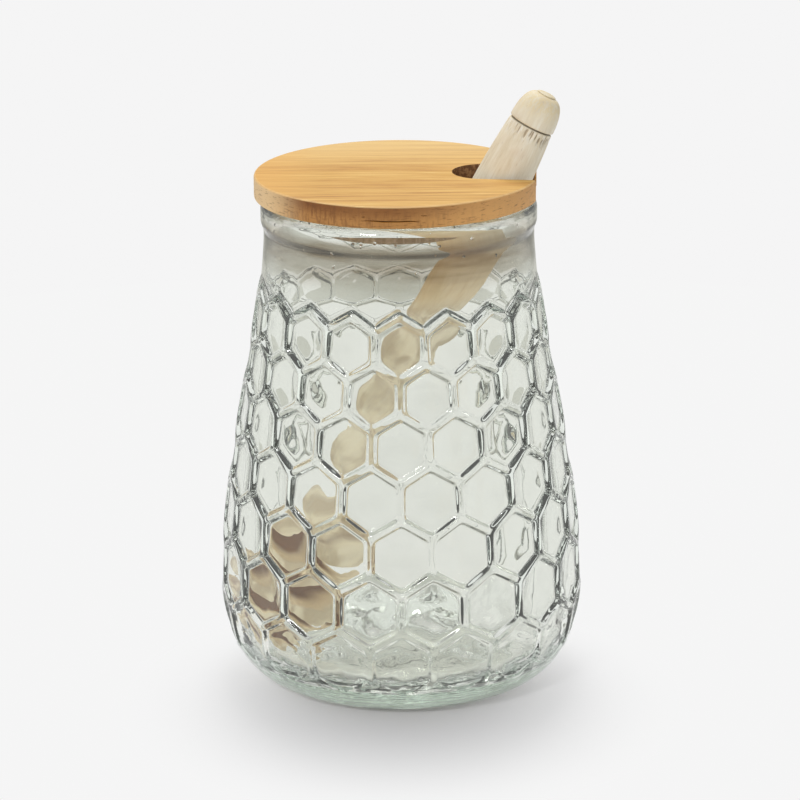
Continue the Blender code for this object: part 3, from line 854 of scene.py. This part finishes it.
# Dipper.
# Turned from one stick of beech and left plain: a head of six discs, a thin stem, a swollen handle
# and a cap above a parted line. It stands on the jar's floor and leans out through the slot.
DIPPER_LENGTH = 158.3 * MM
HEAD_LENGTH = 31.0 * MM
HEAD_RADIUS = 12.4 * MM
HEAD_END_RADIUS = 6.0 * MM
HEAD_TIP_RADIUS = 4.2 * MM
HEAD_DISCS = 6
DISC_STEPS = 26
FIRST_DISC = (0.14, 0.20)
GROOVE_STARTS = (0.56, 0.74)
GROOVE_ENDS = (0.02, 0.20)
LAST_DISC = 0.44
HEAD_TAPER = 0.42
TIP_ROUND = 1.2 * MM
GROOVE_DEPTH = 3.6 * MM
EGG_START = 0.16
EGG_SPAN = 0.74
EGG_FULLNESS = 0.8
STEM_RADIUS = 4.2 * MM
SWELL_START = 41.0 * MM
SWELL_RADIUS = 7.1 * MM
SWELL_PLACE = 121.0 * MM
SWELL_TAPER = 2.2
CAP_NECK_RADIUS = 5.85 * MM
CAP_RADIUS = 5.95 * MM
CAP_START = DIPPER_LENGTH - 9.2 * MM
CAP_LINE = 0.6 * MM
NUB_RADIUS = 2.5 * MM
NUB_HEIGHT = 0.5 * MM
DIPPER_SIDES = 160
AT_LID = Vector((27.4, -0.4, 131.9)) * MM
LEAN = Vector((0.51, 0.02, 1.0))
HEAD_TIP_HEIGHT = 11.0 * MM


def between(first, last, start, end, place):
    """From one value to another along a stretch, slow at both ends."""
    return first + (last - first) * float(smooth_step(start, end, place))


# The head. Disc and groove places are parts of one pitch.
outline = [(0.0, 0.0), (0.55 * HEAD_TIP_RADIUS, 0.0), (0.9 * HEAD_TIP_RADIUS, 0.1 * MM)]
pitch = HEAD_LENGTH / HEAD_DISCS
for place in np.arange(FIRST_DISC[0] * pitch, HEAD_LENGTH + 0.1 * MM, pitch / DISC_STEPS):
    phase = place / pitch % 1
    egg = math.sin(math.pi * (EGG_START + EGG_SPAN * place / HEAD_LENGTH)) ** EGG_FULLNESS
    radius = HEAD_END_RADIUS + (HEAD_RADIUS - HEAD_END_RADIUS) * egg
    cut = float(smooth_step(*GROOVE_STARTS, phase)) + 1 - float(smooth_step(*GROOVE_ENDS, phase))
    if place < FIRST_DISC[1] * pitch:
        part = (place / pitch - FIRST_DISC[0]) / (FIRST_DISC[1] - FIRST_DISC[0])
        radius = radius - TIP_ROUND * (1 - part)
        cut = 0.0
    if place > HEAD_LENGTH - LAST_DISC * pitch:
        radius = between(radius, STEM_RADIUS, HEAD_LENGTH - HEAD_TAPER * pitch, HEAD_LENGTH, place)
        cut = 0.0
    outline.append((radius - GROOVE_DEPTH * cut, place))

# The stem, the swollen handle, the parted line and the cap with its small flat end.
for place in np.arange(HEAD_LENGTH + 0.6 * MM, CAP_START - 0.2 * MM, 0.4 * MM):
    if place < SWELL_PLACE:
        radius = between(STEM_RADIUS, SWELL_RADIUS, SWELL_START, SWELL_PLACE, place)
    else:
        part = (place - SWELL_PLACE) / (CAP_START - SWELL_PLACE)
        radius = SWELL_RADIUS + (CAP_NECK_RADIUS - SWELL_RADIUS) * part ** SWELL_TAPER
    outline.append((radius, place))
line = [(0.0, -0.12), (-0.12, 0.0), (-0.75, 0.2), (-0.8, 0.3), (-0.6, 0.42)]
line += [(-0.15, 0.55), (-0.03, 0.6)]
outline += [(CAP_NECK_RADIUS + down * MM, CAP_START + up * MM) for down, up in line]
cap_rise = DIPPER_LENGTH - CAP_START - CAP_LINE - NUB_HEIGHT
cap_end = math.degrees(math.acos((NUB_RADIUS / CAP_RADIUS) ** 2))
for turn in np.radians(np.linspace(1, cap_end, 26)):
    height = CAP_START + CAP_LINE + cap_rise * math.sin(turn) / math.sin(math.radians(cap_end))
    outline.append((CAP_RADIUS * math.cos(turn) ** 0.5, height))
nub = [(-0.12, 0.02), (-0.14, 0.08), (0.0, 0.12), (-0.05, 0.26), (-0.35, 0.40), (-0.6, 0.5)]
outline += [(NUB_RADIUS + out * MM, DIPPER_LENGTH - NUB_HEIGHT + up * MM) for out, up in nub]
outline.append((0.0, DIPPER_LENGTH))
dipper = turned("wood_dipper", outline, DIPPER_SIDES)

# The tool tore short fibres out just below the cap's line, most of them on one side. Their turn is a
# middle and a spread in radians, and the rest are ranges in mm.
TEARS = 75
TEAR_TURN = (-0.7, 1.1)
TEAR_DROP = (0.5, 2.6)
TEAR_LENGTH = (0.5, 1.7)
TEAR_WIDTH = (0.12, 0.22)
TEAR_DEPTH = (0.12, 0.42)
DEEPEST_TEAR = 0.5
draw = np.random.default_rng(5)
points = np.array([vert.co for vert in dipper.data.vertices])
turns = np.arctan2(points[:, 0], -points[:, 1])
tears = np.zeros(len(points))
for _ in range(TEARS):
    turn = draw.normal(*TEAR_TURN)
    place = CAP_START - draw.uniform(*TEAR_DROP) * MM
    length, width, depth = (draw.uniform(*ends) for ends in (TEAR_LENGTH, TEAR_WIDTH, TEAR_DEPTH))
    across = ((turns - turn + math.pi) % (2 * math.pi) - math.pi) * CAP_NECK_RADIUS
    tears += depth * np.exp(-(across / width / MM) ** 2 - ((points[:, 2] - place) / length / MM) ** 4)
tears = np.minimum(tears, DEEPEST_TEAR) * MM
for vert, (x, y, z), tear in zip(dipper.data.vertices, points, tears):
    if tear > 1e-6 and z < CAP_START:
        vert.co = Vector((x, y, 0)) * (1 - tear / math.hypot(x, y)) + Vector((0, 0, z))
dipper_tip = AT_LID - LEAN * (AT_LID.z - HEAD_TIP_HEIGHT)
dipper_turn = LEAN.to_track_quat("Z", "Y")
dipper.data.transform(Matrix.Translation(dipper_tip) @ dipper_turn.to_matrix().to_4x4())

STICK_STOPS = [(0.30, 0.70, 0.59, 0.42), (0.42, 0.82, 0.73, 0.55)]
STICK_STOPS += [(0.54, 0.88, 0.80, 0.63), (0.70, 0.95, 0.90, 0.76)]
STICK_PATCHES = (0.70, 0.53, 0.40)
STICK_PORES = (0.42, 0.30, 0.18)
GOLDEN_CAP = (0.80, 0.64, 0.34)
PALE_FIBRES = (0.97, 0.93, 0.84)
DARKER_SUNK_TEARS = (0.36, 0.26, 0.15)
DARK_LINE = (0.24, 0.20, 0.14)
NUB_LINE = (0.40, 0.32, 0.20)
HEAD_WOOD = (0.80, 0.66, 0.42)
GROOVE_PAINTED_SHADE = (0.30, 0.13, 0.035)
GROOVE_MIDDLE = 0.88
DIPPER_GLOW = 0.30
GLOW_BELOW_NECK = (0.34, 0.22, 0.09)
GLOW_IN_NECK = (0.80, 0.56, 0.24)
GLOW_DAPPLES = (1.0, 0.90, 0.64)
NECK_START = (103.0 * MM, 93.0 * MM)
JAR_TOP = (122.0 * MM, 112.0 * MM)

dipper_wood, tree, shader = shader_material("dipper_wood")
turned_back = {"Location": dipper_tip, "Rotation": dipper_turn.to_euler()}
mapping = add(tree, "Mapping", turned_back, vector_type="TEXTURE")
spot = add(tree, "TexCoord").outputs
tree.links.new(spot["Object"], mapping.inputs["Vector"])
spot_height = add(tree, "SeparateXYZ", {0: spot["Object"]}).outputs["Z"]
place = mapping.outputs[0]
where = add(tree, "SeparateXYZ", {0: place}).outputs
from_axis = axis_distance(tree, place)
grain = wood_grain(tree, place, 420.0, 1700.0, 6.0)
blend = both(tree, both(tree, grain["Streak"], 0.6), both(tree, grain["Fibre"], 0.4), "ADD")
colour = ramp(tree, blend, STICK_STOPS)
patches = noise(tree, place, 90.0, 2.0)
colour = tint(tree, band(tree, patches, 0.50, 0.70), colour, STICK_PATCHES, 0.3)
colour = tint(tree, grain["Pore"], colour, STICK_PORES, 0.35)

# Towards the cap's end the wood is yellower, and torn fibres below its line are darker where they sink
# in.
above_line = both(tree, where["Z"], CAP_START, "SUBTRACT")
golden = both(tree, band(tree, above_line, 1.2 * MM, 7.0 * MM), band(tree, grain["Fibre"], 0.40, 0.58))
colour = tint(tree, golden, colour, GOLDEN_CAP, 0.65)
torn = band(tree, above_line, -4.6 * MM, -1.4 * MM)
torn = both(tree, torn, band(tree, above_line, 0.1 * MM, -0.4 * MM))
pale = both(tree, torn, band(tree, grain["Fibre"], 0.50, 0.62))
colour = tint(tree, pale, colour, PALE_FIBRES, 0.8)
sunk = both(tree, torn, band(tree, from_axis, 5.82 * MM, 5.55 * MM))
colour = tint(tree, sunk, colour, DARKER_SUNK_TEARS, 0.7)
parting = band(tree, above_line, 0.0, 0.15 * MM)
parting = both(tree, parting, band(tree, above_line, 0.65 * MM, 0.4 * MM))
parting = both(tree, parting, band(tree, from_axis, 5.8 * MM, 5.4 * MM))
colour = tint(tree, parting, colour, DARK_LINE, 0.9)
nub_line = band(tree, above_line, 8.68 * MM, 8.74 * MM)
nub_line = both(tree, nub_line, band(tree, above_line, 8.90 * MM, 8.83 * MM))
nub_line = both(tree, nub_line, band(tree, from_axis, 2.51 * MM, 2.45 * MM))
colour = tint(tree, nub_line, colour, NUB_LINE, 0.6)

# The head is darker, and painted shade darkens it most of all down in its grooves.
turns_along = {0: where["Z"], 1: 2 * math.pi / pitch, 2: -2 * math.pi * GROOVE_MIDDLE}
turns_along = add(tree, "Math", turns_along, operation="MULTIPLY_ADD").outputs[0]
in_groove = add(tree, "Math", {0: turns_along}, operation="COSINE").outputs[0]
groove_shade = both(tree, band(tree, in_groove, 0.0, 0.6), band(tree, where["Z"], 30.0 * MM, 29.0 * MM))
groove_shade = both(tree, groove_shade, band(tree, where["Z"], 2.0 * MM, 3.0 * MM))
colour = tint(tree, band(tree, where["Z"], 36.0 * MM, 28.0 * MM), colour, HEAD_WOOD, 0.45)
colour = tint(tree, groove_shade, colour, GROOVE_PAINTED_SHADE, 0.92)

# Inside the jar it glows a little, for the light that the glass gathers on it. The grooves stay dark.
inside = both(tree, band(tree, spot_height, *JAR_TOP), both(tree, 1.0, groove_shade, "SUBTRACT"))
below_neck = band(tree, spot_height, *NECK_START)
dapples = band(tree, noise(tree, place, 330.0, 2.0), 0.40, 0.62)
lit = tint(tree, below_neck, GLOW_IN_NECK, GLOW_BELOW_NECK)
lit = tint(tree, both(tree, dapples, below_neck), lit, GLOW_DAPPLES)
tree.links.new(tint(tree, inside, (0.0, 0.0, 0.0), lit), shader.inputs["Emission Color"])
shader.inputs["Emission Strength"].default_value = DIPPER_GLOW
tree.links.new(colour, shader.inputs["Base Color"])
sheen = add(tree, "MapRange", {"Value": grain["Streak"], "To Min": 0.75, "To Max": 0.55})
tree.links.new(sheen.outputs["Result"], shader.inputs["Roughness"])
shader.inputs["Specular IOR Level"].default_value = 0.3
tool_marks = noise(tree, stretched(tree, place, 0.02, 0.02, 1.0), 2600.0, 2.0)
relief = both(tree, grain["Fibre"], both(tree, tool_marks, 0.7), "ADD")
bump = add(tree, "Bump", {"Height": relief, "Distance": WOOD_BUMP, "Strength": 0.6})
tree.links.new(bump.outputs[0], shader.inputs["Normal"])
dipper.data.materials.append(dipper_wood)
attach(dipper, "root")
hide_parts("dipper")
